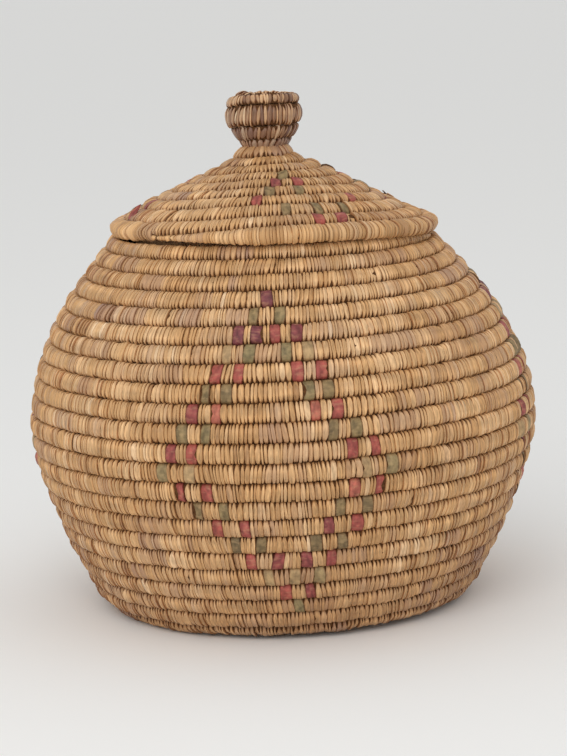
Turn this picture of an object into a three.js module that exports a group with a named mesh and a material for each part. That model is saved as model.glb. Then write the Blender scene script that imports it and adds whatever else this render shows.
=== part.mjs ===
// A lidded basket of coiled grass, in millimetres, +Z up, standing on the plane z = 0.
// One grass bundle, sewn over with split grass, spirals out from the middle of the base, turns up into the
// wall and ends in a tapered tail at the mouth. A second bundle spirals down from the top of the knob, past
// its neck and out over the lid, and ends in a tapered tail at the lid's edge. The lid lifts straight off.
// Angles run from the front (-Y) to the right, so both coils climb to the right as the real ones do.
import * as THREE from "three";

// The sewn round
const ROUND_THICKNESS = 5.6;
const LID_ROUND_THICKNESS = 5.2;
const ROUND_GAP = 0.7;
const END_GAP = 0.3;
const ROUND_SIDES = 6;
const FOOT_FLAT_SHARE = 0.1;

// The basket: counts, then the middle line of the coil as diameters and heights
const WALL_ROUNDS = 23;
const BASE_ROUNDS = 9;
const WALL_STEPS = 16;
const BASE_START_RADIUS = 6;
const FOOT_DIAMETER = 128.4;
const FOOT_BEND = 7.5;
const FOOT_TUCK = 7.3;
const FLANK_DIAMETER = 156.6;
const FLANK_HEIGHT = 31.9;
const BELLY_DIAMETER = 174.4;
const BELLY_HEIGHT = 65.5;
const SHOULDER_DIAMETER = 154.4;
const SHOULDER_HEIGHT = 99.1;
const MOUTH_DIAMETER = 105.8;
const MOUTH_HEIGHT = 131.6;
const BELLY_SWAY = 1.05;
const MOUTH_LEAN = 0.9;
const WALL_SEAM = Math.PI / 2;
const WALL_TAIL_TURN = 0.18;

// The lid and its knob: counts, then the middle line of the coil above the lid's seat
const KNOB_ROUNDS = 4;
const LID_ROUNDS = 10;
const KNOB_STEPS = 10;
const LID_STEPS = 16;
const LID_OVERHANG = 5.2;
const DOME_DIAMETER = 70;
const DOME_HEIGHT = 14.2;
const COLLAR_DIAMETER = 26;
const COLLAR_HEIGHT = 23.1;
const NECK_FOOT_DIAMETER = 17.2;
const NECK_FOOT_HEIGHT = 26;
const NECK_DIAMETER = 11.6;
const NECK_HEIGHT = 29.8;
const KNOB_UNDER_DIAMETER = 16.6;
const KNOB_UNDER_HEIGHT = 34.4;
const KNOB_DIAMETER = 21.6;
const KNOB_MIDDLE_HEIGHT = 40.2;
const KNOB_LIP_DIAMETER = 19.4;
const KNOB_LIP_HEIGHT = 46.1;
const KNOB_DISH_DIAMETER = 10.6;
const KNOB_DISH_HEIGHT = 47.4;
const KNOB_CORE_GAP = 0.6;
const KNOB_LEAN = 0.8;
const LID_SEAM = -Math.PI / 4;
const LID_TAIL_TURN = 0.12;
const LID_LEAN = THREE.MathUtils.degToRad(1.6);
const LID_DROOP = 1.8;
const LID_REST_GAP = 0.4;

// The ring sewn under the lid that keeps it in the mouth
const SEAT_RING_THICKNESS = 4.2;
const SEAT_RING_DEPTH = 7.5;
const SEAT_RING_CLEARANCE = 1;
const SEAT_RING_STEPS = 16;

const TURN = 2 * Math.PI;
const TAIL_TIP_SHARE = 0.15;
const GAP_POINTS_PER_SIDE = 8;

const grass = { color: 0xb58d55, roughness: 0.7, metalness: 0 };
const baseGrass = { color: 0x96744a, roughness: 0.8, metalness: 0 };
const knobGrass = { color: 0x86643c, roughness: 0.75, metalness: 0 };

// The place at a radius, an angle from the front and a height.
function place(radius, angle, height) {
  return new THREE.Vector3(radius * Math.sin(angle), -radius * Math.cos(angle), height);
}

// A profile's point and its unit vectors along the profile and out of the wall, at a length along it.
function profileFrame(curve, length, outward) {
  const share = THREE.MathUtils.clamp(length / curve.getLength(), 0, 1);
  const along = curve.getTangentAt(share);
  const out = new THREE.Vector2(along.y, -along.x).multiplyScalar(outward);
  return { point: curve.getPointAt(share), along, out };
}

// How thick the bundle still is at a turn: whole, then drawn down to its tip along the tail.
function tailShare(coil, turn) {
  const left = (coil.lastTurn - turn) / coil.tailTurn;
  return THREE.MathUtils.lerp(TAIL_TIP_SHARE, 1, THREE.MathUtils.clamp(left, 0, 1));
}

// The room that a round has between its neighbours: the straight distance to the nearer one.
function roomAt(coil, turn) {
  const pointAt = (at) => profileFrame(coil.curve, coil.lengthAt(at), coil.outward).point;
  const here = pointAt(turn);
  const neighbours = [turn - 1, turn + 1].filter((at) => at >= coil.firstTurn && at <= coil.lastTurn);
  return Math.min(...neighbours.map((at) => here.distanceTo(pointAt(at))));
}

// The section of a coil at a turn, as the corners of a six-sided ring that face its neighbours.
// A tail lies against the round before it, so its middle moves back as it thins.
function ringAt(coil, turn) {
  const share = tailShare(coil, turn);
  const { point, along, out } = profileFrame(coil.curve, coil.lengthAt(turn), coil.outward);
  const halfHeight = (roomAt(coil, turn) - ROUND_GAP) / 2;
  const halfThickness = coil.thickness / 2;
  const middle = point.clone().addScaledVector(along, -halfHeight * (1 - share));
  const angle = coil.seam + coil.hand * TURN * turn;
  const corners = [];
  for (let side = 0; side < ROUND_SIDES; side += 1) {
    const around = (TURN * side) / ROUND_SIDES;
    const corner = middle
      .clone()
      .addScaledVector(along, halfHeight * share * Math.cos(around))
      .addScaledVector(out, halfThickness * share * Math.sin(around));
    const height = Math.max(corner.y, coil.floor);
    corners.push(place(corner.x, angle, height).add(coil.shiftAt(height, angle)));
  }
  return corners;
}

// The turns at which rings stand between two whole turns, drawn back at both ends to leave a joint.
function ringTurns(coil, from, to, steps) {
  const turns = [];
  for (let step = 0; step <= (to - from) * steps; step += 1) {
    turns.push(from + step / steps);
  }
  const drawBack = (turn) => {
    const radius = profileFrame(coil.curve, coil.lengthAt(turn), coil.outward).point.x;
    return END_GAP / 2 / (TURN * radius);
  };
  turns[0] += drawBack(from);
  turns[turns.length - 1] -= drawBack(to);
  return turns;
}

// A closed tube through rings of equal count, with its two ends capped.
function tubeGeometry(rings) {
  const sides = rings[0].length;
  const positions = rings.flat().flatMap((corner) => corner.toArray());
  const index = [];
  for (let ring = 0; ring + 1 < rings.length; ring += 1) {
    for (let side = 0; side < sides; side += 1) {
      const here = ring * sides + side;
      const next = ring * sides + ((side + 1) % sides);
      index.push(here, next, next + sides);
      index.push(here, next + sides, here + sides);
    }
  }
  const last = (rings.length - 1) * sides;
  for (let side = 1; side + 1 < sides; side += 1) {
    index.push(0, side + 1, side);
    index.push(last, last + side, last + side + 1);
  }
  const geometry = new THREE.BufferGeometry();
  geometry.setAttribute("position", new THREE.Float32BufferAttribute(positions, 3));
  geometry.setIndex(index);
  return geometry;
}

function coilGeometry(coil, from, to, steps) {
  const turns = ringTurns(coil, from, to, steps);
  return tubeGeometry(turns.map((turn) => ringAt(coil, turn)));
}

// Points along the sides of a ring, for measuring clear space.
function ringPoints(corners) {
  const points = [];
  corners.forEach((corner, side) => {
    const next = corners[(side + 1) % corners.length];
    for (let part = 0; part < GAP_POINTS_PER_SIDE; part += 1) {
      points.push(corner.clone().lerp(next, part / GAP_POINTS_PER_SIDE));
    }
  });
  return points;
}

// The least clear space between each round of a coil and the next one, measured on points.
function leastGap(coil, from, to, steps) {
  let least = Infinity;
  for (let step = 0; step <= (to - from - 1) * steps; step += 1) {
    const turn = from + step / steps;
    const lower = ringPoints(ringAt(coil, turn));
    const upper = ringPoints(ringAt(coil, turn + 1));
    for (const a of lower) {
      for (const b of upper) {
        least = Math.min(least, a.distanceTo(b));
      }
    }
  }
  return least;
}

function allCorners(coil, from, to, steps) {
  return ringTurns(coil, from, to, steps).flatMap((turn) => ringAt(coil, turn));
}

function mesh(name, geometry, finish) {
  const made = new THREE.Mesh(geometry, new THREE.MeshStandardMaterial(finish));
  made.name = name;
  return made;
}

function numbered(stem, number) {
  return stem + String(number).padStart(2, "0");
}

// The basket's profile: flat from the middle of the base, round the foot, then up the wall to the mouth.
function basketCurve() {
  const baseHeight = ROUND_THICKNESS * (0.5 - FOOT_FLAT_SHARE);
  const foot = new THREE.Vector2(FOOT_DIAMETER / 2, baseHeight);
  const wall = [
    new THREE.Vector2(FLANK_DIAMETER / 2, FLANK_HEIGHT),
    new THREE.Vector2(BELLY_DIAMETER / 2, BELLY_HEIGHT),
    new THREE.Vector2(SHOULDER_DIAMETER / 2, SHOULDER_HEIGHT),
    new THREE.Vector2(MOUTH_DIAMETER / 2, MOUTH_HEIGHT),
  ];
  const rise = wall[0].clone().sub(foot).setLength(FOOT_BEND).add(foot);
  const curve = new THREE.Path();
  curve.moveTo(0, baseHeight);
  curve.lineTo(foot.x - FOOT_BEND, baseHeight);
  curve.quadraticCurveTo(foot.x, foot.y, rise.x, rise.y);
  curve.splineThru(wall);
  return curve;
}

// The basket's coil: turn 0 is where the wall's first round leaves the base.
function basketCoil() {
  const curve = basketCurve();
  const wallStart = FOOT_DIAMETER / 2 - FOOT_TUCK;
  const basePitch = (wallStart - BASE_START_RADIUS) / BASE_ROUNDS;
  const wallPitch = (curve.getLength() - wallStart) / WALL_ROUNDS;
  return {
    curve,
    lengthAt: (turn) => wallStart + turn * (turn < 0 ? basePitch : wallPitch),
    shiftAt: (height) => {
      const share = height / MOUTH_HEIGHT;
      const swell = Math.sin(Math.PI * share);
      return new THREE.Vector3(BELLY_SWAY * swell * swell - MOUTH_LEAN * share, 0, 0);
    },
    thickness: ROUND_THICKNESS,
    outward: 1,
    hand: 1,
    seam: WALL_SEAM,
    floor: 0,
    firstTurn: -BASE_ROUNDS,
    lastTurn: WALL_ROUNDS,
    tailTurn: WALL_TAIL_TURN,
  };
}

// The lid's profile, from the dish of the knob over its lip, in at the neck and out to the lid's edge.
function lidCurve() {
  const points = [
    [KNOB_DISH_DIAMETER, KNOB_DISH_HEIGHT],
    [KNOB_LIP_DIAMETER, KNOB_LIP_HEIGHT],
    [KNOB_DIAMETER, KNOB_MIDDLE_HEIGHT],
    [KNOB_UNDER_DIAMETER, KNOB_UNDER_HEIGHT],
    [NECK_DIAMETER, NECK_HEIGHT],
    [NECK_FOOT_DIAMETER, NECK_FOOT_HEIGHT],
    [COLLAR_DIAMETER, COLLAR_HEIGHT],
    [DOME_DIAMETER, DOME_HEIGHT],
    [MOUTH_DIAMETER + 2 * LID_OVERHANG, LID_ROUND_THICKNESS / 2],
  ];
  return new THREE.SplineCurve(points.map(([across, height]) => new THREE.Vector2(across / 2, height)));
}

// The lid's coil: turn 0 is its start in the dish of the knob, and it runs to the left as it goes down.
// The knob stands a little to the left, and the lid's edge hangs lower at its left and right sides.
function lidCoil() {
  const curve = lidCurve();
  const pitch = curve.getLength() / (KNOB_ROUNDS + LID_ROUNDS);
  return {
    curve,
    lengthAt: (turn) => turn * pitch,
    shiftAt: (height, angle) => {
      const share = THREE.MathUtils.clamp(height / COLLAR_HEIGHT, 0, 1);
      const droop = LID_DROOP * (1 - share) * Math.sin(angle) ** 2;
      return new THREE.Vector3(-KNOB_LEAN * share, 0, -droop);
    },
    thickness: LID_ROUND_THICKNESS,
    outward: -1,
    hand: -1,
    seam: LID_SEAM,
    floor: -Infinity,
    firstTurn: 0,
    lastTurn: KNOB_ROUNDS + LID_ROUNDS,
    tailTurn: LID_TAIL_TURN,
  };
}

// The knotted start of the base: a flat snail inside the first turn, with a step that the coil butts on.
function baseStart(coil) {
  const outline = [];
  for (let step = 0; step <= WALL_STEPS; step += 1) {
    const turn = step / WALL_STEPS - BASE_ROUNDS;
    const halfHeight = (roomAt(coil, turn) - ROUND_GAP) / 2;
    const radius = coil.lengthAt(turn) - halfHeight - ROUND_GAP;
    const corner = place(radius, coil.seam + TURN * turn, 0);
    outline.push(new THREE.Vector2(corner.x, corner.y));
  }
  const top = ringAt(coil, -BASE_ROUNDS).reduce((highest, corner) => Math.max(highest, corner.z), 0);
  const geometry = new THREE.ExtrudeGeometry(new THREE.Shape(outline), { depth: top, bevelEnabled: false });
  return mesh("base_start", geometry, baseGrass);
}

function basketGroup(coil) {
  const group = new THREE.Group();
  group.add(baseStart(coil));
  group.add(mesh("base_coil", coilGeometry(coil, -BASE_ROUNDS, 0, WALL_STEPS), baseGrass));
  for (let round = 1; round <= WALL_ROUNDS; round += 1) {
    const geometry = coilGeometry(coil, round - 1, round, WALL_STEPS);
    group.add(mesh(numbered("wall_round_", round), geometry, grass));
  }
  return group;
}

// The grass plug that the knob is wound on: it follows the inside of the knob's rounds down to the neck,
// and its flat top lies just under the round that starts in the dish.
function knobCore(coil) {
  const flatShare = Math.cos(Math.PI / KNOB_STEPS);
  const coreTop = KNOB_DISH_HEIGHT - coil.thickness / 2 - KNOB_CORE_GAP;
  const profile = [new THREE.Vector2(0, coreTop)];
  for (let half = 2; half < 2 * KNOB_ROUNDS; half += 1) {
    const { point, out } = profileFrame(coil.curve, coil.lengthAt(half / 2), coil.outward);
    const inside = point.addScaledVector(out, -coil.thickness / 2);
    const radius = inside.x * flatShare - KNOB_CORE_GAP;
    profile.push(new THREE.Vector2(radius, Math.min(inside.y, coreTop)));
  }
  profile.push(new THREE.Vector2(0, profile[profile.length - 1].y));
  const geometry = new THREE.LatheGeometry(profile.reverse(), KNOB_STEPS);
  geometry.rotateX(Math.PI / 2);
  geometry.translate(-KNOB_LEAN, 0, 0);
  return mesh("knob_core", geometry, knobGrass);
}

// The seat ring: one turn of bundle sewn under the lid's rounds, clear of the narrowest part of the mouth.
function seatRing(lid, basket) {
  const radiusOf = (point) => Math.hypot(point.x, point.y);
  const middleOfMouth = basket.shiftAt(MOUTH_HEIGHT);
  const mouth = allCorners(basket, WALL_ROUNDS - 1, WALL_ROUNDS, WALL_STEPS);
  const acrossMouth = mouth.map((corner) => radiusOf(corner.sub(middleOfMouth)));
  const narrowest = Math.min(...acrossMouth) * Math.cos(Math.PI / WALL_STEPS);
  const halfThickness = SEAT_RING_THICKNESS / 2;
  const halfDepth = SEAT_RING_DEPTH / 2;
  const radius = narrowest - SEAT_RING_CLEARANCE - halfThickness;
  const shoulder = halfThickness * Math.sin(TURN / ROUND_SIDES);
  const topAbove = (across) => halfDepth * (1 - Math.abs(across - radius) / shoulder / 2);
  const lidTurns = ringTurns(lid, KNOB_ROUNDS, KNOB_ROUNDS + LID_ROUNDS, LID_STEPS);
  const above = lidTurns
    .flatMap((turn) => ringPoints(ringAt(lid, turn)))
    .filter((point) => Math.abs(radiusOf(point) - radius) < shoulder);
  const middle = Math.min(...above.map((point) => point.z - topAbove(radiusOf(point)))) - ROUND_GAP;
  const endTurn = END_GAP / 2 / (TURN * radius);
  const rings = [];
  for (let step = 0; step <= SEAT_RING_STEPS; step += 1) {
    const turn = THREE.MathUtils.clamp(step / SEAT_RING_STEPS, endTurn, 1 - endTurn);
    const corners = [];
    for (let side = 0; side < ROUND_SIDES; side += 1) {
      const around = (TURN * side) / ROUND_SIDES;
      const across = radius + halfThickness * Math.sin(around);
      const height = middle + halfDepth * Math.cos(around);
      corners.push(place(across, WALL_SEAM + TURN * turn, height));
    }
    rings.push(corners);
  }
  return mesh("lid_seat_ring", tubeGeometry(rings), grass);
}

function lidGroup(coil, basket) {
  const group = new THREE.Group();
  group.add(knobCore(coil));
  for (let round = 1; round <= KNOB_ROUNDS; round += 1) {
    group.add(mesh("knob_round_" + round, coilGeometry(coil, round - 1, round, KNOB_STEPS), knobGrass));
  }
  for (let round = 1; round <= LID_ROUNDS; round += 1) {
    const turn = KNOB_ROUNDS + round;
    const geometry = coilGeometry(coil, turn - 1, turn, LID_STEPS);
    group.add(mesh(numbered("lid_round_", round), geometry, grass));
  }
  group.add(seatRing(coil, basket));
  return group;
}

// A round's sections about an axis, each as its turn from the front and the radii and heights of its sides.
function sectionsAbout(coil, from, to, steps, placed) {
  const sections = [];
  for (let step = 0; step < (to - from) * steps; step += 1) {
    const turn = from + step / steps;
    const points = ringPoints(ringAt(coil, turn)).map(placed);
    const turnFromFront = coil.seam / TURN + coil.hand * turn;
    sections.push({
      turnFromFront: turnFromFront - Math.floor(turnFromFront),
      sides: points.map((point) => new THREE.Vector2(Math.hypot(point.x, point.y), point.z)),
    });
  }
  return sections;
}

// The lid leans back, over the lower side of the mouth's coil, and comes down on the mouth until it rests.
function seatLid(group, lid, basket) {
  const middleOfMouth = basket.shiftAt(MOUTH_HEIGHT);
  group.rotation.x = -LID_LEAN;
  group.updateMatrix();
  const lean = (point) => point.applyMatrix4(group.matrix);
  const centre = (point) => point.sub(middleOfMouth);
  const edge = sectionsAbout(lid, lid.lastTurn - 2, lid.lastTurn, LID_STEPS, lean);
  const mouth = sectionsAbout(basket, WALL_ROUNDS - 2, WALL_ROUNDS, WALL_STEPS, centre);
  let lift = -Infinity;
  for (const above of edge) {
    for (const below of mouth) {
      const apart = Math.abs(above.turnFromFront - below.turnFromFront);
      if (Math.min(apart, 1 - apart) * LID_STEPS > 0.5) {
        continue;
      }
      for (const a of above.sides) {
        for (const b of below.sides) {
          const across = Math.abs(a.x - b.x);
          if (across < LID_REST_GAP) {
            lift = Math.max(lift, b.y - a.y + Math.sqrt(LID_REST_GAP ** 2 - across ** 2));
          }
        }
      }
    }
  }
  group.position.set(middleOfMouth.x, 0, lift);
}

const basketPath = basketCoil();
const lidPath = lidCoil();
const lidAssembly = lidGroup(lidPath, basketPath);
seatLid(lidAssembly, lidPath, basketPath);

const gaps = {
  base_coil: leastGap(basketPath, -BASE_ROUNDS, 0, WALL_STEPS),
  wall: leastGap(basketPath, -1, WALL_ROUNDS, WALL_STEPS),
  knob: leastGap(lidPath, 0, KNOB_ROUNDS + 1, KNOB_STEPS),
  lid: leastGap(lidPath, KNOB_ROUNDS, lidPath.lastTurn, LID_STEPS),
};
for (const [name, gap] of Object.entries(gaps)) {
  console.log(name + ": least gap between rounds " + gap.toFixed(2) + " mm");
}

const basket = new THREE.Group();
basket.add(basketGroup(basketPath));
basket.add(lidAssembly);

export default basket;
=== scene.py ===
import math
from collections import namedtuple

import bmesh
import bpy
import numpy as np
from mathutils import Euler, Matrix, Vector, noise


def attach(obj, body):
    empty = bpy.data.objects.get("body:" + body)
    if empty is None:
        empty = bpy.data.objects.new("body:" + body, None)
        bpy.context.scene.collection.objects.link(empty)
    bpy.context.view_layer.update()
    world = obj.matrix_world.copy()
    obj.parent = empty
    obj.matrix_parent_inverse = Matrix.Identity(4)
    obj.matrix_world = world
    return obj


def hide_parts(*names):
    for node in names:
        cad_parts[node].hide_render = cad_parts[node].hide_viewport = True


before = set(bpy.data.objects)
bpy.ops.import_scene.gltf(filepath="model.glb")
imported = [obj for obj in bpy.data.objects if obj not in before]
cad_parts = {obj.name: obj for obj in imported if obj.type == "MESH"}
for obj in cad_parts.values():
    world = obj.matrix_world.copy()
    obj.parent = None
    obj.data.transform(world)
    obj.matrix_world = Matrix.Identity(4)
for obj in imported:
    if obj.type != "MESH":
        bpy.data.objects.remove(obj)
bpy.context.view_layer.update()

MM = 0.001
TURN = 2 * math.pi

# The sewn round, as in the CAD source
ROUND_THICKNESS = 5.6 * MM
LID_ROUND_THICKNESS = 5.2 * MM
FOOT_FLAT_SHARE = 0.1
TAIL_TIP_SHARE = 0.15

# The basket's coil: radii and heights of its middle line
WALL_ROUNDS = 23
BASE_ROUNDS = 9
BASE_START_RADIUS = 6 * MM
FOOT = (64.2 * MM, ROUND_THICKNESS * (0.5 - FOOT_FLAT_SHARE))
FOOT_BEND = 7.5 * MM
FOOT_TUCK = 7.3 * MM
FLANK = (78.3 * MM, 31.9 * MM)
BELLY = (87.2 * MM, 65.5 * MM)
SHOULDER = (77.2 * MM, 99.1 * MM)
MOUTH = (52.9 * MM, 131.6 * MM)
WALL_SEAM = math.pi / 2
WALL_TAIL_TURN = 0.05

# How finely the coils are drawn
PROFILE_STEPS = 48
BEND_STEPS = 24
SEAM_STEPS = 200  # places in a turn at which a seam is measured
SMALLEST_RADIUS = 2 * MM  # nearer the middle, a slip aside turns no further

# How the wall's rounds are drawn up at the foot and sunk at the mouth: turn and distance
FOOT_DRAWN_UP = ((-1, 0), (0.25, 1.2 * MM), (1.25, 1.4 * MM), (2.25, 0.4 * MM), (3.5, 0))
MOUTH_SUNK = ((20, 0), (21.25, 0.35 * MM), (22.25, 0.9 * MM), (23, 0.7 * MM))

# How the basket has settled with use
BELLY_SWAY = 1.05 * MM
MOUTH_LEAN = 0.9 * MM
MOUTH_DROOP = 1.5 * MM
MOUTH_DROOP_FROM = 0.8  # share of the height
WALL_RIPPLE = 0.16 * MM
WALL_RIPPLES = ((3, 9, 1), (8, -5, 0.6))  # waves around, slant up the wall, size
FLOOR_SOFTNESS = 0.12 * MM
FOOT_LIFT = 0.8 * MM
STANDING_RADIUS = 42 * MM
BASE_EDGE_RADIUS = FOOT[0] - 5 * MM
FOOT_SETTLES_AT = math.radians(-46)
FOOT_SETTLES_OVER = math.radians(30)
FOOT_SETTLES_BELOW = 0.125  # share of the height

# The lid's coil, above the lid's seat
KNOB_ROUNDS = 4
LID_ROUNDS = 10
KNOB_DISH = (7.6 * MM, 47.1 * MM)
KNOB_LIP = (10.1 * MM, 46.3 * MM)
KNOB_MIDDLE = (10.8 * MM, 40.2 * MM)
KNOB_UNDER = (8.0 * MM, 34.4 * MM)
NECK = (5.3 * MM, 29.8 * MM)
NECK_FOOT = (8.6 * MM, 26.0 * MM)
COLLAR = (13.0 * MM, 23.1 * MM)
DOME = (35.0 * MM, 14.2 * MM)
LID_EDGE = (58.1 * MM, LID_ROUND_THICKNESS / 2)
LID_SEAM = -math.pi / 4
LID_FRONT = 0.875
LID_TAIL_TURN = 0.12
KNOB_START = ((0, 0.5), (0.12, 1))  # turn, and share of the full round
KNOB_LEVELLED = ((4.3, 1), (5.6, 0))  # turn, and how level the rounds lie
KNOB_DISH_DEPTH = 2.2 * MM
KNOB_DISH_THICKNESS = 4 * MM

# Where one round of the lid's coil gives way to the next: turn, and millimetres from the even place
LID_BOUNDS = (
    (-0.7, 0),
    (0, 0),
    (1.375, -3.2),
    (2.375, -2.2),
    (3.375, -3.0),
    (4.375, -4.5),
    (5.375, -3.8),
    (11.375, -2.4),
    (12.375, -0.9),
    (14, 0),
    (14.5, 0),
)

# How the lid has settled: its droop at the sides by radius, more of it at the right, and at its tail
LID_DROOP = (
    (8 * MM, 0),
    (25 * MM, 1.3 * MM),
    (36 * MM, 2.3 * MM),
    (50 * MM, 2.3 * MM),
    (58 * MM, 1.8 * MM),
)
LID_DROOP_RIGHT = ((22 * MM, -0.3), (36 * MM, 0.2), (48 * MM, 0.35))
LID_TAIL_DROOP = 1.1 * MM
LID_TAIL_DROOP_FROM = 42 * MM
LID_TAIL_DROOP_FULL = 56 * MM
LID_TAIL_DROOP_WAVES = 1.6
LID_TAIL_DROOP_TURNED = 0.35
LID_LEAN = math.radians(1.6)
LID_ASIDE = -1.4 * MM
LID_LIFT = 131.263 * MM + FOOT_LIFT
KNOB_LEAN = 0.8 * MM
KNOB_SINK = 1.1 * MM

# The ring under the lid, whose bundle's ends all but meet
SEAT_RING_RADIUS = 46.77 * MM
SEAT_RING_THICKNESS = 4.2 * MM
SEAT_RING_DEPTH = 7.5 * MM
SEAT_RING_MIDDLE = 0.3 * MM
SEAT_RING_TURN = 0.9995

# The stitch, and the bundle inside it
STITCH_SIDES = 16
STITCH_SWELLS = ((0.7, 1.1, 1.16), (0.2, 0.7, 1.068))  # from and to which squareness, and how much
GRASS_EDGE = 0.14
KNOB_EDGE = 0.29
FLAT_EDGE = 0.07
FLAT_STITCH_ROUNDS = 8
STITCH_OVERLAP = 1.05
STITCH_REACH = 1.05
NOTCH_END = 0.9
# The free last round's stitches read their length only up to this share, so their upper ends get none of
# the painted shade at stitch ends
FREE_EDGE_UNSHADED = 0.5
CRISP_ANGLE = math.radians(50)
BUNDLE_OUT_SHARE = 0.84
BUNDLE_UP_SHARE = 1.06
BUNDLE_EDGE_SHARE = 0.86
BUNDLE_STEP = 3.5 * MM
START_HOLE = 0.4 * MM

# How wide an undyed stitch is: turn and width
WALL_STITCH_WIDTH = (
    (-BASE_ROUNDS, 2.2 * MM),
    (0, 1.35 * MM),
    (7, 1.38 * MM),
    (12, 1.5 * MM),
    (16, 1.5 * MM),
    (20, 1.3 * MM),
)
LID_STITCH_WIDTH = ((0, 1.35 * MM), (3.5, 1.35 * MM), (6, 1.3 * MM), (14, 1.45 * MM))
START_STITCH_WIDTH = ((0, 2.3 * MM),)
DYED_WIDTH = 3.7 * MM
DYED_WIDTH_SHARES = (0.86, 1.1)

# How stitches differ from one another
STITCH_SPREAD = 0.32
STITCH_SPREAD_LIMITS = (-0.6, 0.42)
SLACK_SHARE = 0.12
SLACK_WIDTH = 0.82
LIFT_SPREAD = 0.055
LIFT_DISORDER = 0.3  # power of the disorder
REACH_SPREAD = 0.045
STITCH_LEAN = 0.5 * MM
LEAN_SPREAD = 0.18
LEAN_WAVE = 1.6
LEAN_WAVES_PER_METRE = 60
FREE_LEAN = 0.25
STITCH_ROLL = 0.03
ROLL_SPREAD = 0.21
PINCH_SPREAD = 0.12
PINCH_LIMITS = (0.03, 0.8)
DYED_PINCH = 0.4
STRAND_STITCHES = (2, 11)
PALENESS = 0.57
PALE_STRANDS = 0.06
PALE_SPREAD = 0.09
PALE_DISORDER = 0.5  # power of the disorder
PALE_PATCHES = 0.16
PATCHES_PER_METRE = 26
GREYNESS = -0.1
GREY_STRANDS = 0.25
GREY_SPREAD = 0.1
BASE_DULLNESS = 0.15
DULLNESS_STEP = 0.025
RING_DULLNESS = 0.1

# The stepped diamonds on the wall: rows from the top, and degrees
DIAMOND_ROWS = 18
DIAMOND_TOP_ROW = 4
DIAMOND_LEFT = ((0, -2), (2, -9.6), (9, -26.8), (17, 3))
DIAMOND_RIGHT = ((0, -2), (2, 4.7), (4, 9.2), (6, 12.2), (9, 22.9), (17, 3))
DIAMOND_CENTRES = (0, 92, 174, -104)
DIAMOND_FRONT = 0.75
ONE_CELL_WIDTH = 4
TWO_CELL_WIDTH = 9
THREE_CELL_WIDTH = 13
UPPER_CELL_STEP = 5
LOWER_CELL_STEP = 6
DIAMOND_SPREAD = 0.25
DIAMOND_TONES = (
    0.05, 0.4, 0.3, 0.8, 0.6, 0.4, 0.6, 0.5, 0.6,
    0.85, 0.6, 0.5, 0.6, 0.4, 0.35, 0.85, 0.6, 0.6,
)
DYE_TONE_SPREAD = 0.16

# The smaller stepped motifs on the lid, row by row
LID_MOTIF_TOP_ROW = 4
LID_MOTIF = ((13,), (7, 22), (2, 18), (-4, 45), (7, 20, 33), (18, 28))
LID_MOTIF_CENTRES = (0, 89, 178, -121)
LID_MOTIF_SPREAD = 0.5
LID_MOTIF_TONE = 0.5

# The finishes of a sewn piece, in the order of its material slots
NATURAL = 0
BUNDLE = 1
RED = 2
GREEN = 3

# Loose ends of strips on the lid: turn, width, how far they stand off, slip and twist, finish, tone
LOOSE_ENDS = (
    (12.08, 4.6 * MM, 2.6 * MM, -1.2 * MM, 1.2, RED, 0.5),
    (11.565, 0.7 * MM, 1.9 * MM, 1.2 * MM, 0.3, BUNDLE, 0.3),
    (11.59, 0.6 * MM, 1.4 * MM, -0.8 * MM, 0.3, NATURAL, 0.25),
)
LOOSE_STEPS = 6
LOOSE_THICKNESS = 0.3 * MM
LOOSE_TAPER = 0.55
LOOSE_TOP = 0.85
LOOSE_FALL = 1.35
LOOSE_OFF = 0.75
LOOSE_ARCH = 0.3
LOOSE_CURL = 1.5
LOOSE_STRIP = 0.6  # half the width and length that its grain and painted shade read

# Seeds of the random draws
WALL_DYE_SEED = 41
LID_DYE_SEED = 17
BASKET_SEED = 5
LID_SEED = 8
START_SEED = 3
DISH_SEED = 4
RING_SEED = 6

# Colours from dark to pale
GRASS_STOPS = (
    (0.0, (0.28, 0.135, 0.055)),
    (0.3, (0.46, 0.245, 0.1)),
    (0.55, (0.6, 0.345, 0.15)),
    (0.8, (0.73, 0.465, 0.24)),
    (1.0, (0.87, 0.64, 0.41)),
)
KNOB_STOPS = (
    (0.0, (0.14, 0.068, 0.045)),
    (0.35, (0.26, 0.135, 0.072)),
    (0.65, (0.62, 0.38, 0.2)),
    (1.0, (0.97, 0.74, 0.47)),
)
RED_STOPS = (
    (0.0, (0.15, 0.045, 0.055)),
    (0.4, (0.31, 0.07, 0.058)),
    (0.75, (0.38, 0.088, 0.064)),
    (1.0, (0.52, 0.2, 0.12)),
)
GREEN_STOPS = (
    (0.0, (0.16, 0.11, 0.055)),
    (0.45, (0.25, 0.168, 0.074)),
    (0.7, (0.23, 0.178, 0.082)),
    (1.0, (0.45, 0.29, 0.14)),
)
# The bundle's dark brown is painted shade: it shows only in the shade between stitches
BUNDLE_SHADE_STOPS = ((0.3, (0.055, 0.022, 0.008)), (0.7, (0.14, 0.062, 0.024)))
GREYED_GRASS = (0.36, 0.215, 0.155)
GREYED_KNOB = (0.15, 0.085, 0.085)
WORN_RED = (0.5, 0.25, 0.14)
WORN_GREEN = (0.46, 0.3, 0.15)
# Painted shade: multiplied in at the sides of each stitch, where stitches meet, and at its ends, in the
# grooves between rounds
SIDE_SHADE = (0.36, 0.16, 0.065)
END_SHADE = (0.5, 0.33, 0.2)

# Grain in a strip: fineness across it and along it, and detail
GRASS_GRAIN = (6.0, 0.8, 3)
WRINKLED_GRAIN = (3.2, 1.5, 3)
BROAD_GRAIN = (2.0, 1.2, 1)
WORN_PATCHES = (1.6, 3.0, 2)
GRAIN_SHIFT = 97
GRAIN_DEPTH = 0.15 * MM
GRAIN_STRENGTH = 0.5
BUNDLE_FLECKS = 900

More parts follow.
